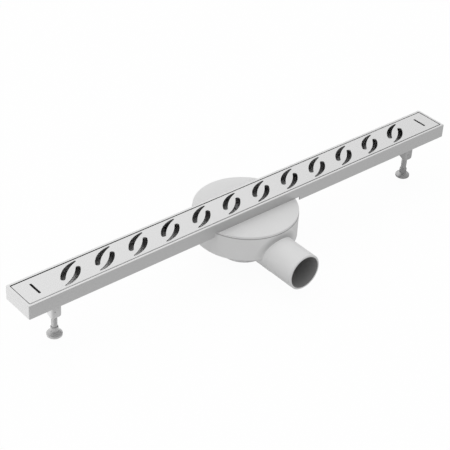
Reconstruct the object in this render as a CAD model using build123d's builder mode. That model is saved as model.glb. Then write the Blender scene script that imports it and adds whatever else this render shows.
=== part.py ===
from build123d import *
import os
from math import cos, radians, sin

# Linear shower drain, in millimetres.
# X runs along the channel, -Y is the outlet side, and Z = 0 is the slab it stands on, under the trap's axis.

# Channel: a folded sheet tray with a flat rim and a skirt all round
channel_length = 700.0
channel_width = 50.0
channel_sheet = 1.2
channel_corner = 1.5
rim_width = 3.5
tray_depth = 14.0
skirt_drop = 5.0
tray_corner = 1.5
fold_round = 0.8
notch_clearance = 2.5

# Grate: a folded lid with pairs of curved slits, standing on rubber rests
grate_sheet = 1.5
grate_gap = 1.0
grate_flange_height = 8.0
grate_corner = 1.2
slit_pitch = 50.0
slit_end_distance = 75.0
slit_outer_radius = 39.0
slit_inner_radius = 58.0
slit_tip_x = 17.6
slit_tip_margin = 4.1
slit_tip_width = 2.2
slit_butt_x = -13.6
slit_butt_y = -4.0
slit_butt_width = 6.2
slit_butt_angle = 156.0
slit_tip_angle = 108.0
lift_slot_length = 22.0
lift_slot_width = 3.2
lift_slot_inset = 25.0
rest_length = 14.0
rest_lip = 0.8
rest_grip = 2.5
rest_fit = 0.1
rest_inset = 50.0
rest_inner_place = 110.0

# Outlet collar with its slip washer, and the gasket: clamp the tray to the trap's lid
collar_side_gap = 0.3
collar_wall = 1.8
collar_flange_width = 1.7
collar_flange_thickness = 1.5
collar_flange_round = 0.5
collar_length = 15.0
washer_thickness = 0.4
washer_setback = 0.2
collar_clearance = 0.3
thread_clearance = 0.1
spanner_notches = 4
spanner_notch_width = 3.0
spanner_notch_start = 45.0
gasket_width = 2.8
gasket_thickness = 2.0

# Trap: a round moulded body with a deep cup, a welded lid and a side outlet
trap_radius = 70.0
trap_wall = 3.0
trap_height = 37.7
lid_thickness = 3.5
lid_inset = 0.4
lid_ring_depth = 4.5
lid_ring_width = 2.0
lid_ring_fit = 0.4
lid_rib_count = 6
lid_rib_width = 2.0
lid_rib_depth = 4.0
lid_rib_start = 30.0
boss_wall = 4.0
boss_length = 16.0
seam_chamfer = 0.5
trap_edge_round = 2.0
cup_radius = 33.0
pipe_radius = 25.0
pipe_wall = 2.8
pipe_floor_gap = 7.0
pipe_lid_gap = 11.0
pipe_length = 48.0
pipe_end_chamfer = 0.8
root_step = 0.3
root_length = 4.0
root_fillet = 2.5

# Odour trap insert: dip tube, seal cup and ring, hung in the collar
insert_flange_cover = 0.8
insert_flange_thickness = 1.5
plug_fit = 0.2
plug_length = 10.0
funnel_edge = 2.7
dip_wall = 1.5
dip_water_gap = 2.9
dip_floor_gap = 4.0
ring_section = 1.1
ring_fit = 0.05
seal_cup_fit = 0.4
seal_cup_wall = 1.6
seal_cup_floor_gap = 3.4
seal_cup_drop = 6.0
rib_count = 3
rib_width = 1.5
rib_length = 24.0
rib_setback = 2.0
rib_start = 90.0
strainer_setback = 1.0
strainer_thickness = 1.0
strainer_hole = 1.9
strainer_inner_holes = 5
strainer_outer_holes = 10
strainer_inner_circle = 5.6
strainer_outer_circle = 11.0
knob_stem_radius = 1.6
knob_radius = 3.6
knob_clearance = 2.4
knob_cap = 1.5

# Levelling feet: an angle bracket, a square nut, a screw and a pad
left_foot_inset = 50.0
right_foot_inset = 45.8
bracket_sheet = 1.5
bracket_bend = 4.0
bracket_floor_gap = 32.0
bracket_depth = 15.0
bracket_taper = 5.0
bracket_free_end = 5.0
bracket_corner = 3.0
bracket_relief = 2.0
weld_dimple = 1.0
weld_dimple_depth = 0.4
weld_dimple_offset = 3.5
nut_across = 13.0
nut_height = 6.5
nut_raise = 6.0
screw_radius = 4.0
screw_fit = 0.05
screw_length = 45.0
screw_chamfer = 0.8
pad_radius = 10.0
pad_rim = 3.5
pad_height = 6.5
pad_round = 1.2
neck_radius = 5.0
neck_height = 7.2
neck_chamfer = 0.6
socket_depth = 6.0

# Heights that follow from the sizes above
z_pipe = pipe_floor_gap + pipe_radius
z_tray = z_pipe + pipe_radius + pipe_lid_gap
z_top = z_tray + tray_depth
z_skirt = z_tray - skirt_drop
z_floor = z_tray + channel_sheet
z_grate_under = z_top - grate_sheet
z_grate_flange = z_top - grate_flange_height
z_collar = z_floor + washer_thickness
z_collar_top = z_collar + collar_flange_thickness
z_insert_top = z_collar_top + insert_flange_thickness
z_lid_under = z_tray - lid_thickness
z_trap_under = z_tray - trap_height
z_cup_base = trap_wall + seal_cup_floor_gap
z_cup_rim = z_tray - boss_length - seal_cup_drop
z_dip_end = z_cup_base + seal_cup_wall + dip_floor_gap
z_knob_top = z_grate_under - knob_clearance
z_nut = bracket_floor_gap + nut_raise
z_neck = pad_height + neck_height
z_screw = z_neck - socket_depth

# Openings that follow from the sizes above
tray_length = channel_length - 2 * rim_width
tray_width = channel_width - 2 * rim_width
grate_length = tray_length - 2 * grate_gap
grate_width = tray_width - 2 * grate_gap
slit_pairs = 1 + int((channel_length - 2 * slit_end_distance) / slit_pitch)
slit_tip_y = grate_width / 2 - slit_tip_margin
collar_flange_radius = tray_width / 2 - collar_side_gap
outlet_radius = collar_flange_radius - collar_flange_width
collar_radius = outlet_radius - collar_clearance
collar_bore = collar_radius - collar_wall
boss_bore = collar_radius + thread_clearance
gasket_bore = outlet_radius
gasket_radius = gasket_bore + gasket_width
lid_radius = trap_radius - lid_inset
trap_bore = trap_radius - trap_wall
lid_ring_radius = trap_bore - lid_ring_fit
boss_radius = boss_bore + boss_wall
pipe_bore = pipe_radius - pipe_wall
root_radius = pipe_radius + root_step
root_reach = trap_radius + root_length
cup_bore = cup_radius - trap_wall
plug_radius = collar_bore - plug_fit
funnel_radius = plug_radius - funnel_edge
insert_flange_radius = collar_radius + insert_flange_cover
strainer_radius = insert_flange_radius - strainer_setback
seal_cup_radius = collar_bore - seal_cup_fit
seal_cup_bore = seal_cup_radius - seal_cup_wall
dip_radius = seal_cup_bore - dip_water_gap
dip_bore = dip_radius - dip_wall
nut_half = nut_across / 2
bracket_half = nut_half + bracket_sheet
bracket_inner_bend = bracket_bend - bracket_sheet


def plate(length, width, corner, low, height, mode=Mode.ADD):
    """A flat block with rounded upright corners, centred on the channel."""
    with BuildSketch(Plane.XY.offset(low)) as outline:
        RectangleRounded(length, width, corner)
    extrude(outline.sketch, amount=height, mode=mode)


def disc(radius, low, height, mode=Mode.ADD):
    """A round block on the trap's axis."""
    with BuildSketch(Plane.XY.offset(low)) as outline:
        Circle(radius)
    extrude(outline.sketch, amount=height, mode=mode)


def save(piece, name):
    """Label a finished piece and write it under its own name."""
    piece.label = name
    export_step(piece, os.path.join("parts", name + ".step"))


os.makedirs("parts", exist_ok=True)

# Channel
with BuildPart() as channel:
    wall = 2 * channel_sheet
    inside_corner = channel_corner - channel_sheet
    plate(channel_length, channel_width, channel_corner, z_skirt, z_top - z_skirt)
    top_edges = channel.faces().sort_by(Axis.Z)[-1].edges()
    fillet(top_edges, fold_round)
    plate(channel_length - wall, channel_width - wall, inside_corner, z_skirt,
          z_top - z_skirt - channel_sheet, Mode.SUBTRACT)
    plate(tray_length + wall, tray_width + wall, tray_corner + channel_sheet, z_tray, tray_depth - fold_round)
    plate(tray_length, tray_width, tray_corner, z_floor, tray_depth, Mode.SUBTRACT)
    disc(outlet_radius, z_tray, channel_sheet, Mode.SUBTRACT)
    # The skirt stops at the tray's underside where the channel lies on the trap
    with BuildSketch(Plane.XY.offset(z_skirt)):
        Rectangle(2 * (trap_radius + notch_clearance), channel_width + wall)
    extrude(amount=skirt_drop, mode=Mode.SUBTRACT)
save(channel.part, "channel")

# One curved slit: blunt and round at the front left, tapered to a narrow round tip at the back right
butt_turn = radians(slit_butt_angle)
tip_turn = radians(slit_tip_angle)
butt_side = (slit_butt_width / 2 * cos(butt_turn), slit_butt_width / 2 * sin(butt_turn))
tip_side = (slit_tip_width / 2 * cos(tip_turn), slit_tip_width / 2 * sin(tip_turn))
butt_outer = (slit_butt_x + butt_side[0], slit_butt_y + butt_side[1])
butt_inner = (slit_butt_x - butt_side[0], slit_butt_y - butt_side[1])
butt_end = (slit_butt_x - butt_side[1], slit_butt_y + butt_side[0])
tip_outer = (slit_tip_x + tip_side[0], slit_tip_y + tip_side[1])
tip_inner = (slit_tip_x - tip_side[0], slit_tip_y - tip_side[1])
tip_end = (slit_tip_x + tip_side[1], slit_tip_y - tip_side[0])
with BuildSketch() as slit:
    with BuildLine():
        RadiusArc(butt_outer, tip_outer, slit_outer_radius)
        ThreePointArc(tip_outer, tip_end, tip_inner)
        RadiusArc(butt_inner, tip_inner, slit_inner_radius)
        ThreePointArc(butt_inner, butt_end, butt_outer)
    make_face()

# Grate
with BuildPart() as grate:
    plate(grate_length, grate_width, grate_corner, z_grate_flange, grate_flange_height)
    fillet(grate.faces().sort_by(Axis.Z)[-1].edges(), fold_round)
    plate(grate_length - 2 * grate_sheet, grate_width - 2 * grate_sheet, grate_corner / 2, z_grate_flange,
          grate_flange_height - grate_sheet, Mode.SUBTRACT)
    with BuildSketch(Plane.XY.offset(z_grate_under)):
        with GridLocations(slit_pitch, 0, slit_pairs, 1):
            add(slit.sketch)
            add(slit.sketch, rotation=180)
        with GridLocations(channel_length - 2 * lift_slot_inset, 0, 2, 1):
            SlotOverall(lift_slot_length, lift_slot_width, rotation=90)
    extrude(amount=grate_sheet, mode=Mode.SUBTRACT)
save(grate.part, "grate")

# Rubber rests gripping the grate's long flanges and standing on the tray floor
rest_height = z_grate_flange - z_floor + rest_grip
rest_width = grate_sheet + 2 * rest_lip
rest_places = (rest_inner_place, channel_length / 2 - rest_inset)
rest_spots = [(side * x, face * (grate_width - grate_sheet) / 2)
              for side in (-1, 1) for face in (-1, 1) for x in rest_places]
with BuildPart() as grate_rests:
    with BuildSketch(Plane.XY.offset(z_floor)):
        with Locations(*rest_spots):
            Rectangle(rest_length, rest_width)
    extrude(amount=rest_height)
    with BuildSketch(Plane.XY.offset(z_grate_flange)):
        with Locations(*rest_spots):
            Rectangle(rest_length, grate_sheet + 2 * rest_fit)
    extrude(amount=rest_grip, mode=Mode.SUBTRACT)
save(grate_rests.part, "grate_rests")

# Outlet collar: flanged tube screwed into the lid's boss
with BuildPart() as outlet_collar:
    disc(collar_flange_radius, z_collar, collar_flange_thickness)
    fillet(outlet_collar.edges().sort_by(Axis.Z)[-1], collar_flange_round)
    disc(collar_radius, z_collar_top - collar_length, collar_length)
    disc(collar_bore, z_collar_top - collar_length, collar_length, Mode.SUBTRACT)
    with BuildSketch(Plane.XY.offset(z_collar)):
        with PolarLocations(collar_flange_radius, spanner_notches, start_angle=spanner_notch_start):
            Rectangle(collar_flange_width, spanner_notch_width)
    extrude(amount=collar_flange_thickness, mode=Mode.SUBTRACT)
save(outlet_collar.part, "outlet_collar")

# Slip washer that lets the collar's flange turn on the tray floor
with BuildPart() as collar_washer:
    disc(collar_flange_radius - washer_setback, z_floor, washer_thickness)
    disc(outlet_radius, z_floor, washer_thickness, Mode.SUBTRACT)
save(collar_washer.part, "collar_washer")

# Gasket between the tray and the lid
with BuildPart() as channel_gasket:
    disc(gasket_radius, z_tray - gasket_thickness, gasket_thickness)
    disc(gasket_bore, z_tray - gasket_thickness, gasket_thickness, Mode.SUBTRACT)
save(channel_gasket.part, "channel_gasket")

# Trap lid: a disc with a locating ring, a boss for the collar and stiffening ribs
with BuildPart() as trap_lid:
    disc(lid_radius, z_lid_under, lid_thickness)
    rims = trap_lid.edges().filter_by(GeomType.CIRCLE).sort_by(Axis.Z)
    fillet(rims[-1], seam_chamfer)
    chamfer(rims[0], seam_chamfer)
    disc(lid_ring_radius, z_lid_under - lid_ring_depth, lid_ring_depth)
    disc(lid_ring_radius - lid_ring_width, z_lid_under - lid_ring_depth, lid_ring_depth, Mode.SUBTRACT)
    with BuildSketch(Plane.XY.offset(z_lid_under - lid_rib_depth)):
        with PolarLocations(0, lid_rib_count, start_angle=lid_rib_start):
            with Locations(((boss_radius + lid_ring_radius - lid_ring_width) / 2, 0)):
                Rectangle(lid_ring_radius - boss_radius - lid_ring_width / 2, lid_rib_width)
    extrude(amount=lid_rib_depth)
    disc(boss_radius, z_tray - boss_length, boss_length - lid_thickness)
    disc(boss_bore, z_tray - boss_length, boss_length, Mode.SUBTRACT)
    disc(gasket_radius, z_tray - gasket_thickness, gasket_thickness, Mode.SUBTRACT)
save(trap_lid.part, "trap_lid")

# Trap body: shallow drum, deep central cup and outlet spigot moulded in one
with BuildPart() as trap_body:
    disc(trap_radius, z_trap_under, z_lid_under - z_trap_under)
    rims = trap_body.edges().filter_by(GeomType.CIRCLE).sort_by(Axis.Z)
    chamfer(rims[-1], seam_chamfer)
    fillet(rims[0], trap_edge_round)
    # The spigot's root is a little wider and flows into the drum's wall
    with BuildSketch(Plane.XZ):
        with Locations((0, z_pipe)):
            Circle(root_radius)
    extrude(amount=root_reach)
    root_rim = trap_body.faces().sort_by(Axis.Y)[0].edges()
    chamfer(root_rim, root_step)
    joint_line = trap_body.edges().filter_by(GeomType.BSPLINE)
    fillet(joint_line, root_fillet)
    disc(cup_radius, 0, z_trap_under + trap_wall)
    fillet(trap_body.edges().filter_by(GeomType.CIRCLE).sort_by(Axis.Z)[0], trap_edge_round)
    with BuildSketch(Plane.XZ.offset(root_reach)):
        with Locations((0, z_pipe)):
            Circle(pipe_radius)
    extrude(amount=pipe_length - root_length)
    disc(trap_bore, z_trap_under + trap_wall, z_lid_under - z_trap_under, Mode.SUBTRACT)
    disc(cup_bore, trap_wall, z_trap_under + trap_wall, Mode.SUBTRACT)
    with BuildSketch(Plane.XZ):
        with Locations((0, z_pipe)):
            Circle(pipe_bore)
    extrude(amount=trap_radius + pipe_length, mode=Mode.SUBTRACT)
    pipe_rims = trap_body.faces().sort_by(Axis.Y)[0].edges().sort_by(SortBy.RADIUS)
    chamfer(pipe_rims[-1], pipe_end_chamfer)
save(trap_body.part, "trap_body")

# Dip tube: flange, plug with a ring groove, funnel and long tube with three ribs for the cup
z_plug = z_collar_top - plug_length
z_ring = z_collar_top - plug_length / 2
groove_radius = collar_bore - 2 * ring_section - 2 * ring_fit
with BuildPart() as dip_tube:
    disc(insert_flange_radius, z_collar_top, insert_flange_thickness)
    disc(plug_radius, z_plug, plug_length)
    disc(dip_radius, z_dip_end, z_plug - z_dip_end)
    with BuildSketch(Plane.XY.offset(z_cup_rim - rib_setback - rib_length)):
        with PolarLocations(0, rib_count, start_angle=rib_start):
            with Locations(((dip_bore + seal_cup_bore) / 2, 0)):
                Rectangle(seal_cup_bore - dip_bore - 2 * ring_fit, rib_width)
    extrude(amount=rib_length)
    disc(dip_bore, z_dip_end, z_insert_top - z_dip_end, Mode.SUBTRACT)
    with BuildSketch(Plane.XZ):
        with BuildLine():
            Polyline((0, z_plug), (dip_bore, z_plug), (funnel_radius, z_insert_top), (0, z_insert_top), close=True)
        make_face()
        with Locations(((groove_radius + plug_radius) / 2 + plug_fit, z_ring)):
            Rectangle(plug_radius - groove_radius + 2 * plug_fit, 2 * (ring_section + ring_fit))
    revolve(axis=Axis.Z, mode=Mode.SUBTRACT)
save(dip_tube.part, "dip_tube")

# Seal ring round the plug
with BuildPart() as insert_ring:
    with BuildSketch(Plane.XZ):
        with Locations((collar_bore - ring_section - ring_fit, z_ring)):
            Circle(ring_section)
    revolve(axis=Axis.Z)
save(insert_ring.part, "insert_ring")

# Seal cup that holds the water round the dip tube's end
with BuildPart() as seal_cup:
    disc(seal_cup_radius, z_cup_base, z_cup_rim - z_cup_base)
    fillet(seal_cup.edges().filter_by(GeomType.CIRCLE).sort_by(Axis.Z)[0], trap_edge_round)
    disc(seal_cup_bore, z_cup_base + seal_cup_wall, z_cup_rim - z_cup_base, Mode.SUBTRACT)
save(seal_cup.part, "seal_cup")

# Hair strainer with a grip knob, lying on the insert's flange
with BuildPart() as hair_strainer:
    disc(strainer_radius, z_insert_top, strainer_thickness)
    with BuildSketch(Plane.XY.offset(z_insert_top)):
        with PolarLocations(strainer_inner_circle, strainer_inner_holes):
            Circle(strainer_hole)
        with PolarLocations(strainer_outer_circle, strainer_outer_holes):
            Circle(strainer_hole)
    extrude(amount=strainer_thickness, mode=Mode.SUBTRACT)
    disc(knob_stem_radius, z_insert_top, z_knob_top - z_insert_top)
    disc(knob_radius, z_knob_top - knob_cap, knob_cap)
save(hair_strainer.part, "hair_strainer")

# Levelling feet
left_foot_x = left_foot_inset - channel_length / 2
right_foot_x = channel_length / 2 - right_foot_inset
for place, foot_x in (("left", left_foot_x), ("right", right_foot_x)):
    corner_x = foot_x - bracket_half
    free_x = foot_x + bracket_free_end
    back_y = bracket_depth - bracket_half
    with BuildPart() as foot_bracket:
        # Angle section: the flange stands left of the nut and the web in front of it
        with BuildSketch(Plane.XY.offset(bracket_floor_gap)):
            with BuildLine():
                FilletPolyline((corner_x, back_y), (corner_x, -bracket_half), (free_x, -bracket_half),
                               radius=bracket_bend)
                Line((free_x, -bracket_half), (free_x, -nut_half))
                FilletPolyline((free_x, -nut_half), (foot_x - nut_half, -nut_half), (foot_x - nut_half, back_y),
                               radius=bracket_inner_bend)
                Line((foot_x - nut_half, back_y), (corner_x, back_y))
            make_face()
        extrude(amount=z_tray - bracket_floor_gap)
        free_edge = foot_bracket.edges().group_by(Axis.Z)[0].filter_by(Axis.Y).sort_by(Axis.X)[-1]
        fillet(free_edge, bracket_corner)
        # The flange's lower edge rises from the bend to the back
        with BuildSketch(Plane.YZ.offset(corner_x)):
            with BuildLine():
                Polyline((bracket_bend - bracket_half, bracket_floor_gap), (back_y, bracket_floor_gap),
                         (back_y, bracket_floor_gap + bracket_taper), close=True)
            make_face()
        extrude(amount=bracket_sheet, mode=Mode.SUBTRACT)
        # Tab folded back from the web's top and welded under the tray, with a relief beside the flange
        with BuildSketch(Plane.XY.offset(z_tray - bracket_sheet)):
            with Locations((free_x, back_y)):
                Rectangle(free_x - foot_x + nut_half - bracket_relief, bracket_depth - bracket_sheet,
                          align=(Align.MAX, Align.MAX))
        extrude(amount=bracket_sheet)
        # Weld dimple on the web's face, where the nut is welded behind it
        with BuildSketch(Plane.XZ.offset(bracket_half - weld_dimple_depth)):
            with Locations((foot_x - weld_dimple_offset, z_nut + nut_height / 2)):
                Circle(weld_dimple)
        extrude(amount=weld_dimple_depth, mode=Mode.SUBTRACT)
    save(foot_bracket.part, "foot_bracket_" + place)

    with BuildPart() as foot_nut:
        with BuildSketch(Plane.XY.offset(z_nut)):
            with Locations((foot_x, 0)):
                Rectangle(nut_across, nut_across)
        extrude(amount=nut_height)
        chamfer(foot_nut.edges().filter_by(Axis.Z), bracket_inner_bend)
        with BuildSketch(Plane.XY.offset(z_nut)):
            with Locations((foot_x, 0)):
                Circle(screw_radius + screw_fit)
        extrude(amount=nut_height, mode=Mode.SUBTRACT)
    save(foot_nut.part, "foot_nut_" + place)

    with BuildPart() as foot_screw:
        with BuildSketch(Plane.XY.offset(z_screw)):
            with Locations((foot_x, 0)):
                Circle(screw_radius)
        extrude(amount=screw_length)
        chamfer(foot_screw.edges().filter_by(GeomType.CIRCLE), screw_chamfer)
    save(foot_screw.part, "foot_screw_" + place)

    with BuildPart() as foot_pad:
        with BuildSketch(Plane.XZ):
            with BuildLine():
                Polyline((foot_x, 0), (foot_x + pad_radius, 0), (foot_x + pad_radius, pad_rim),
                         (foot_x + neck_radius, pad_height), (foot_x + neck_radius, z_neck),
                         (foot_x, z_neck), close=True)
            make_face()
        revolve(axis=Axis((foot_x, 0, 0), (0, 0, 1)))
        pad_rims = foot_pad.edges().filter_by(GeomType.CIRCLE).sort_by(Axis.Z)
        chamfer(pad_rims[-1], neck_chamfer)
        fillet(pad_rims[0:2], pad_round)
        with BuildSketch(Plane.XY.offset(z_screw)):
            with Locations((foot_x, 0)):
                Circle(screw_radius + screw_fit)
        extrude(amount=socket_depth, mode=Mode.SUBTRACT)
    save(foot_pad.part, "foot_pad_" + place)
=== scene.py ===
from math import cos, pi, radians, sin

import bmesh
import bpy
from mathutils import Matrix, Vector


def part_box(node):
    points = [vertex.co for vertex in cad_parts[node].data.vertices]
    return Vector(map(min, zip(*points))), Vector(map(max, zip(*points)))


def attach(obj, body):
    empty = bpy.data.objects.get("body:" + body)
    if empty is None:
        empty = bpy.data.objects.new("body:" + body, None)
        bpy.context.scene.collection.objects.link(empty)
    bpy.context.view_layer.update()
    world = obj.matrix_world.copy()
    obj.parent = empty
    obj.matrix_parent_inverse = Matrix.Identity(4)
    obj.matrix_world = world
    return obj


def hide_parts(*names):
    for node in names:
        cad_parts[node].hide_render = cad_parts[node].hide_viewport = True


# Camera: its place in metres, its aim in degrees and its lens in millimetres
camera_place = (-1.00450, -1.08411, 1.07395)
camera_azimuth = 41.8298
camera_elevation = 35.0803
camera_roll = 3.4082
camera_lens = 109.878
camera_sensor = 36.0
camera_reach = 100

# Light on the object: how bright the room is, and each soft lamp's place, size and strength
room_strength = 0.74
lamp_target = (0, 0, 0.05)
left_lamp = {"place": (-2.3, -0.3, 0.5), "size": 1.0, "watts": 4.6}
top_lamp = {"place": (-0.3, 1.0, 2.8), "size": 1.8, "watts": 5.5}

# Floor, in metres: low enough to clear the pads when the feet are lowered
floor_size = 30.0
floor_height = -0.0085
floor_colour = 0.50
floor_white = 0.90
floor_glow = 1.06

# Studio seen in reflections: how it brightens from the front to the back of the sky and the floor,
# dims behind the right end, and brightens round the left foot and dims round the right one
front_glow = 0.77
sky_glow = 1.64
sky_rise = (0.1, 0.72)
back_glow = 1.47
back_rise = (-0.08, 0.02)
right_glow = 0.75
right_fall = (0.05, 0.33)
feet_glow = (1.22, 0.50)
feet_span = (-0.30, 0.30)
feet_end_rise = (-0.40, -0.36)
feet_front_rise = (-0.065, -0.045)

# Painted shade and light in the tray's hollows, in metres, and what share of the metal's colour is
# left in them: lighter at the front and darker at the back of the room under the grate, and in the
# gap along the grate darker at the back left and the front right and lighter at the back right
tray_half_length = 0.3475
tray_half_width = 0.0225
tray_lip = 0.0818
tray_rise = (0.004, 0.018)
tray_shades = (1.15, 0.80)
gap_inner = 0.0202
gap_outer = 0.0216
gap_floor = 0.078
gap_end = 0.3463
gap_span = (-0.29, 0.29)
back_gap = {"side": 1, "start": 0.0197, "shades": (0.15, 1.6)}
front_gap = {"side": -1, "start": gap_inner, "shades": (1.0, 0.25)}

# Painted shade in the hollows of the trap, the outlet's bore and the drum round the outlet's root,
# and a darker band along the lid's seam
bore_height = 0.032
bore_reach = 0.0224
bore_start = -0.034
bore_mouth = -0.117
bore_shades = (0.18, 0.42)
root_reach = (0.0254, 0.0350)
root_rise = (0.030, 0.058)
root_shades = (0.97, 0.48)
seam_height = 0.0645
seam_half = 0.0005
seam_shade = 0.55

# Textures: scale, detail and spread of colour, polish and relief
noise_range = (0.3, 0.7)
relief_strength = 0.5
sheet_grain = (60, 3000, 3000)
bracket_grain = (900, 900, 100)
cast_grain = (900, 900, 900)
metal_scale = 1.0
metal_detail = {"colour": 4, "polish": 3, "relief": 5}
metal_spread = {"colour": 0.025, "polish": 0.04}
metal_relief = 0.00001
plastic_grain = (1, 1, 1)
plastic_scale = {"colour": 22.0, "polish": 90.0, "relief": 2600.0}
plastic_detail = {"colour": 3, "polish": 3, "relief": 2}
plastic_spread = {"colour": 0.015, "polish": 0.05}
plastic_relief = 0.00002

# Screw thread, in metres, and how finely it is cut
thread_pitch = 0.00125
thread_depth = 0.00055
thread_end = 0.0009
thread_steps = 40
thread_rows = 4


def make_camera():
    """The photograph's viewpoint, as a free camera with a small roll."""
    azimuth = radians(camera_azimuth)
    elevation = radians(camera_elevation)
    roll = radians(camera_roll)
    level_reach = cos(elevation)
    forward = Vector((sin(azimuth) * level_reach, cos(azimuth) * level_reach, -sin(elevation)))
    level = Vector((cos(azimuth), -sin(azimuth), 0))
    upright = level.cross(forward)
    right = cos(roll) * level + sin(roll) * upright
    up = cos(roll) * upright - sin(roll) * level
    data = bpy.data.cameras.new("camera")
    data.lens = camera_lens
    data.sensor_width = camera_sensor
    data.clip_end = camera_reach
    camera = bpy.data.objects.new("camera", data)
    bpy.context.collection.objects.link(camera)
    turn = Matrix((right, up, -forward)).transposed()
    camera.matrix_world = Matrix.Translation(camera_place) @ turn.to_4x4()
    bpy.context.scene.camera = camera


def make_lamp(name, place, size, watts):
    """A square soft lamp aimed at the middle of the object."""
    data = bpy.data.lights.new(name, "AREA")
    data.size = size
    data.energy = watts
    lamp = bpy.data.objects.new(name, data)
    bpy.context.collection.objects.link(lamp)
    lamp.location = place
    aim = Vector(lamp_target) - Vector(place)
    lamp.rotation_mode = "QUATERNION"
    lamp.rotation_quaternion = aim.to_track_quat("-Z", "Y")


def feed(links, sockets, values):
    """Each socket gets its value: a number is set on it, and another socket is linked to it."""
    for socket, value in zip(sockets, values):
        if isinstance(value, (int, float)):
            socket.default_value = value
        else:
            links.new(value, socket)


def maths(nodes, links, operation, *values):
    """One maths node on the given sockets and numbers."""
    node = nodes.new("ShaderNodeMath")
    node.operation = operation
    feed(links, node.inputs, values)
    return node.outputs[0]


def ramp(nodes, links, value, start, end, first, last):
    """A value that runs from first at start to last at end."""
    node = nodes.new("ShaderNodeMapRange")
    feed(links, node.inputs, (value, start, end, first, last))
    return node.outputs[0]


def unsigned(nodes, links, value):
    """The value without its sign."""
    return maths(nodes, links, "ABSOLUTE", value)


def times(nodes, links, first, second):
    """The product of two values. Of two masks it is where both hold."""
    return maths(nodes, links, "MULTIPLY", first, second)


def kept(nodes, links, mask, keep):
    """1 outside the mask, and the given value inside it."""
    lost = maths(nodes, links, "SUBTRACT", 1.0, keep)
    return maths(nodes, links, "SUBTRACT", 1.0, times(nodes, links, mask, lost))


def own_place(nodes, links):
    """The three coordinates in the object's own space."""
    place = nodes.new("ShaderNodeTexCoord")
    apart = nodes.new("ShaderNodeSeparateXYZ")
    links.new(place.outputs["Object"], apart.inputs[0])
    return apart.outputs


def seen_directly(nodes, links):
    """1 for camera, glossy and transmission rays, and 0 for rays that light things."""
    path = nodes.new("ShaderNodeLightPath").outputs
    seen = maths(nodes, links, "MAXIMUM", path["Is Camera Ray"], path["Is Glossy Ray"])
    return maths(nodes, links, "MAXIMUM", seen, path["Is Transmission Ray"])


def studio_glow(nodes, links, forward, rise, brightest):
    """White for the camera, and for reflections a studio that is dimmer in front than behind."""
    glossy = nodes.new("ShaderNodeLightPath").outputs["Is Glossy Ray"]
    return kept(nodes, links, glossy, ramp(nodes, links, forward, *rise, front_glow, brightest))


def mixed(nodes, links, share, first, second):
    """Two shaders: none of the second where the share is 0, and only the second where it is 1."""
    node = nodes.new("ShaderNodeMixShader")
    for socket, value in zip(node.inputs, (share, first, second)):
        links.new(value, socket)
    return node.outputs[0]


def make_room():
    """A room that lights the object softly and looks white."""
    world = bpy.data.worlds.new("room")
    bpy.context.scene.world = world
    world.use_nodes = True
    nodes, links = world.node_tree.nodes, world.node_tree.links
    nodes.clear()
    soft = nodes.new("ShaderNodeBackground")
    soft.inputs["Strength"].default_value = room_strength
    soft.inputs["Color"].default_value = (1, 1, 1, 1)
    white = nodes.new("ShaderNodeBackground")
    white.inputs["Color"].default_value = (1, 1, 1, 1)
    direction = nodes.new("ShaderNodeTexCoord").outputs["Generated"]
    apart = nodes.new("ShaderNodeSeparateXYZ")
    links.new(direction, apart.inputs[0])
    glow = studio_glow(nodes, links, apart.outputs["Y"], sky_rise, sky_glow)
    links.new(glow, white.inputs["Strength"])
    mix = mixed(nodes, links, seen_directly(nodes, links), soft.outputs[0], white.outputs[0])
    links.new(mix, nodes.new("ShaderNodeOutputWorld").inputs[0])


def floor_brightness(nodes, links):
    """White for the camera, and for reflections a floor that also changes near the feet."""
    place = own_place(nodes, links)
    far_glow = ramp(nodes, links, place["X"], *right_fall, back_glow, right_glow)
    glow = studio_glow(nodes, links, place["Y"], back_rise, far_glow)
    near_feet = nodes.new("ShaderNodeLightPath").outputs["Is Glossy Ray"]
    for axis, rise in (("X", feet_end_rise), ("Y", feet_front_rise)):
        near_feet = times(nodes, links, near_feet, ramp(nodes, links, place[axis], *rise, 0.0, 1.0))
    foot_glow = ramp(nodes, links, place["X"], *feet_span, *feet_glow)
    glow = times(nodes, links, glow, kept(nodes, links, near_feet, foot_glow))
    return times(nodes, links, glow, floor_glow)


def make_floor():
    """A plain pale floor with a faint shadow, which is clear from underneath."""
    mesh = bpy.data.meshes.new("floor")
    half = floor_size / 2
    corners = [(-half, -half, 0), (half, -half, 0), (half, half, 0), (-half, half, 0)]
    mesh.from_pydata(corners, [], [(0, 1, 2, 3)])
    floor = bpy.data.objects.new("floor", mesh)
    floor.location.z = floor_height
    bpy.context.collection.objects.link(floor)
    material = bpy.data.materials.new("floor")
    material.use_nodes = True
    nodes, links = material.node_tree.nodes, material.node_tree.links
    nodes.clear()
    pale = nodes.new("ShaderNodeBsdfDiffuse")
    pale.inputs["Color"].default_value = (floor_colour, floor_colour, floor_colour, 1)
    white = nodes.new("ShaderNodeEmission")
    links.new(floor_brightness(nodes, links), white.inputs["Strength"])
    share = times(nodes, links, seen_directly(nodes, links), floor_white)
    top = mixed(nodes, links, share, pale.outputs[0], white.outputs[0])
    clear = nodes.new("ShaderNodeBsdfTransparent").outputs[0]
    underneath = nodes.new("ShaderNodeNewGeometry").outputs["Backfacing"]
    one_sided = mixed(nodes, links, underneath, top, clear)
    links.new(one_sided, nodes.new("ShaderNodeOutputMaterial").inputs[0])
    mesh.materials.append(material)


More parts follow.
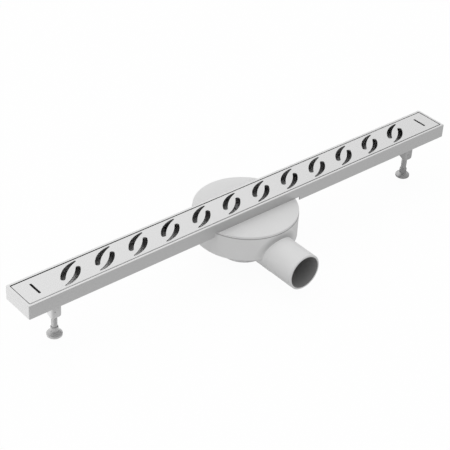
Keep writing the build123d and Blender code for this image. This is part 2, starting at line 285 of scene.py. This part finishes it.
def grain(nodes, links, scale, stretch, detail, low, high):
    """Noise in the object's own space, remapped to lie between low and high."""
    place = nodes.new("ShaderNodeTexCoord")
    mapping = nodes.new("ShaderNodeMapping")
    mapping.inputs["Scale"].default_value = stretch
    links.new(place.outputs["Object"], mapping.inputs["Vector"])
    noise = nodes.new("ShaderNodeTexNoise")
    noise.inputs["Scale"].default_value = scale
    noise.inputs["Detail"].default_value = detail
    links.new(mapping.outputs[0], noise.inputs["Vector"])
    return ramp(nodes, links, noise.outputs["Fac"], *noise_range, low, high)


def tinted(nodes, links, shade, tint):
    """A grey that varies with shade, times a faint tint."""
    colour = nodes.new("ShaderNodeCombineColor")
    for channel, weight in zip(("Red", "Green", "Blue"), tint):
        links.new(times(nodes, links, shade, weight), colour.inputs[channel])
    return colour.outputs[0]


def tray_shade(nodes, links):
    """Painted shade in the room under the grate, lighter than the metal at its front, and painted
    shade and light in the gap along its two long sides.
    """
    x, y, z = own_place(nodes, links)
    lengthwise, crosswise = unsigned(nodes, links, x), unsigned(nodes, links, y)
    along = maths(nodes, links, "LESS_THAN", lengthwise, tray_half_length)
    across = maths(nodes, links, "LESS_THAN", crosswise, tray_half_width)
    below = maths(nodes, links, "LESS_THAN", z, tray_lip)
    inside = times(nodes, links, times(nodes, links, along, across), below)
    # painted shade in the room under the grate: painted light towards its front, darker towards its
    # back
    room = ramp(nodes, links, y, *tray_rise, *tray_shades)
    shade = kept(nodes, links, inside, room)
    high = maths(nodes, links, "GREATER_THAN", z, gap_floor)
    between_ends = maths(nodes, links, "LESS_THAN", lengthwise, gap_end)
    beside_grate = times(nodes, links, high, between_ends)
    # painted shade along each gap, and painted light along the back gap's right end
    for gap in (back_gap, front_gap):
        reach = times(nodes, links, y, gap["side"])
        start = ramp(nodes, links, x, *gap_span, gap["start"], gap_inner)
        past = maths(nodes, links, "GREATER_THAN", reach, start)
        short = maths(nodes, links, "LESS_THAN", reach, gap_outer)
        mask = times(nodes, links, times(nodes, links, past, short), beside_grate)
        keep = ramp(nodes, links, x, *gap_span, *gap["shades"])
        shade = times(nodes, links, shade, kept(nodes, links, mask, keep))
    return shade


def trap_shade(nodes, links):
    """Painted shade in the outlet's bore and on the drum round its root, and a darker band along
    the lid's seam.
    """
    x, y, z = own_place(nodes, links)
    rise = maths(nodes, links, "SUBTRACT", z, bore_height)
    square = maths(nodes, links, "MULTIPLY_ADD", rise, rise, times(nodes, links, x, x))
    distance = maths(nodes, links, "SQRT", square)
    round_bore = maths(nodes, links, "LESS_THAN", distance, bore_reach)
    outward = maths(nodes, links, "LESS_THAN", y, bore_start)
    bore = times(nodes, links, round_bore, outward)
    # painted shade in the bore, darkest deep inside and lighter towards the mouth
    in_bore = kept(nodes, links, bore, ramp(nodes, links, y, bore_start, bore_mouth, *bore_shades))
    # painted shade on the drum round the outlet's root, darker towards its top
    past = maths(nodes, links, "GREATER_THAN", distance, root_reach[0])
    near = times(nodes, links, past, ramp(nodes, links, distance, *root_reach, 1.0, 0.0))
    drum = times(nodes, links, near, outward)
    on_drum = kept(nodes, links, drum, ramp(nodes, links, z, *root_rise, *root_shades))
    # a darker band along the lid's seam
    height = unsigned(nodes, links, maths(nodes, links, "SUBTRACT", z, seam_height))
    seam = maths(nodes, links, "LESS_THAN", height, seam_half)
    shade = times(nodes, links, in_bore, on_drum)
    return times(nodes, links, shade, kept(nodes, links, seam, seam_shade))


def bump(nodes, links, height, distance, shader):
    """A fine relief from the given height."""
    relief = nodes.new("ShaderNodeBump")
    relief.inputs["Strength"].default_value = relief_strength
    relief.inputs["Distance"].default_value = distance
    links.new(height, relief.inputs["Height"])
    links.new(relief.outputs[0], shader.inputs["Normal"])


def new_material(name):
    """An empty material with its nodes, its links and its shader."""
    material = bpy.data.materials.new(name)
    material.use_nodes = True
    nodes, links = material.node_tree.nodes, material.node_tree.links
    return material, nodes, links, nodes["Principled BSDF"]


def metal(name, shade, metallic, roughness, stretch, painted_shading=None):
    """Satin metal with a fine grain, drawn out along the axis where stretch is least."""
    material, nodes, links, shader = new_material(name)
    shader.inputs["Metallic"].default_value = metallic
    low, high = shade * (1 - metal_spread["colour"]), shade * (1 + metal_spread["colour"])
    streaks_and_painted_shading = grain(nodes, links, metal_scale, stretch, metal_detail["colour"], low, high)
    # painted shade and light from the given mask darken or lighten the grain
    if painted_shading:
        streaks_and_painted_shading = times(nodes, links, streaks_and_painted_shading, painted_shading(nodes, links))
    links.new(tinted(nodes, links, streaks_and_painted_shading, (1, 1, 1)), shader.inputs["Base Color"])
    low, high = roughness - metal_spread["polish"], roughness + metal_spread["polish"]
    polish = grain(nodes, links, metal_scale, stretch, metal_detail["polish"], low, high)
    links.new(polish, shader.inputs["Roughness"])
    relief = grain(nodes, links, metal_scale, stretch, metal_detail["relief"], 0, 1)
    bump(nodes, links, relief, metal_relief, shader)
    return material


def plastic(name, shade, roughness, tint=(1, 1, 1), painted_shading=None):
    """Matt moulded plastic with a fine even texture."""
    material, nodes, links, shader = new_material(name)

    def texture(kind, low, high):
        """The plastic's noise for its colour, polish or relief."""
        scale, detail = plastic_scale[kind], plastic_detail[kind]
        return grain(nodes, links, scale, plastic_grain, detail, low, high)

    spread = plastic_spread["colour"]
    clouds_and_painted_shading = texture("colour", shade * (1 - spread), shade * (1 + spread))
    # painted shade from the given mask darkens the texture
    if painted_shading:
        clouds_and_painted_shading = times(nodes, links, clouds_and_painted_shading, painted_shading(nodes, links))
    links.new(tinted(nodes, links, clouds_and_painted_shading, tint), shader.inputs["Base Color"])
    spread = plastic_spread["polish"]
    links.new(texture("polish", roughness - spread, roughness + spread), shader.inputs["Roughness"])
    bump(nodes, links, texture("relief", 0, 1), plastic_relief, shader)
    return material


def dress(node, material):
    """Give one carried-over part its material."""
    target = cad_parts[node]
    target.data.materials.clear()
    target.data.materials.append(material)


def threaded_rod(name, node, body, material):
    """A turned screw with a real thread in the room of a plain shank."""
    low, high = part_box(node)
    centre_x = (low[0] + high[0]) / 2
    centre_y = (low[1] + high[1]) / 2
    radius = (high[0] - low[0]) / 2
    length = high[2] - low[2]
    turns = length / thread_pitch
    mesh = bpy.data.meshes.new(name)
    work = bmesh.new()
    rings = []
    rows = int(turns * thread_rows)
    for row in range(rows + 1):
        along = row / rows * length
        ring = []
        for step in range(thread_steps):
            angle = 2 * pi * step / thread_steps
            phase = (along / thread_pitch - step / thread_steps) % 1
            depth = thread_depth * (1 - abs(2 * phase - 1))
            taper = max(0, thread_end - min(along, length - along))
            reach = radius - max(depth, taper)
            x, y = centre_x + reach * cos(angle), centre_y + reach * sin(angle)
            ring.append(work.verts.new((x, y, low[2] + along)))
        rings.append(ring)
    for lower, upper in zip(rings, rings[1:]):
        for step in range(thread_steps):
            after = (step + 1) % thread_steps
            work.faces.new((lower[step], lower[after], upper[after], upper[step]))
    work.faces.new(list(reversed(rings[0])))
    work.faces.new(rings[-1])
    for face in work.faces:
        face.smooth = True
    work.to_mesh(mesh)
    work.free()
    rod = bpy.data.objects.new(name, mesh)
    bpy.context.collection.objects.link(rod)
    mesh.materials.append(material)
    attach(rod, body)
    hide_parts(node)


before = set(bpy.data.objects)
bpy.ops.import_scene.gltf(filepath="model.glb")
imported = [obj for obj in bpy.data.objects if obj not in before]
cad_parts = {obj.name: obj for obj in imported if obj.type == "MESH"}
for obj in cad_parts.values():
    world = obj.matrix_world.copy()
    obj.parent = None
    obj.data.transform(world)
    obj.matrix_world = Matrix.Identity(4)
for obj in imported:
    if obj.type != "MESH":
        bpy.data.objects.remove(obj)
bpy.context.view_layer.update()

make_camera()
make_room()
make_floor()
make_lamp("left_lamp", **left_lamp)
make_lamp("top_lamp", **top_lamp)

# the sheet steel carries the tray's painted shade and light, and the trap plastic the trap's
# painted shade
sheet_steel = metal("sheet_steel", 0.54, 0.85, 0.38, sheet_grain, tray_shade)
bracket_steel = metal("bracket_steel", 0.50, 0.88, 0.42, bracket_grain)
zinc_steel = metal("zinc_steel", 0.45, 0.8, 0.45, cast_grain)
trap_plastic = plastic("trap_plastic", 0.81, 0.5, painted_shading=trap_shade)
insert_plastic = plastic("insert_plastic", 0.28, 0.45, (0.98, 1.0, 1.02))
pad_plastic = metal("pad_plastic", 0.40, 0.6, 0.4, cast_grain)
rubber = plastic("rubber", 0.02, 0.7)

dress("channel", sheet_steel)
dress("grate", sheet_steel)
for node in ("grate_rests", "channel_gasket", "insert_ring"):
    dress(node, rubber)
for node in ("trap_lid", "trap_body", "outlet_collar"):
    dress(node, trap_plastic)
for node in ("dip_tube", "seal_cup", "hair_strainer", "collar_washer"):
    dress(node, insert_plastic)
for side in ("left", "right"):
    dress("foot_bracket_" + side, bracket_steel)
    dress("foot_nut_" + side, zinc_steel)
    dress("foot_pad_" + side, pad_plastic)
    threaded_rod("screw_thread_" + side, "foot_screw_" + side, side + "_foot", zinc_steel)

bpy.context.scene.view_settings.view_transform = "Standard"
bpy.context.view_layer.update()
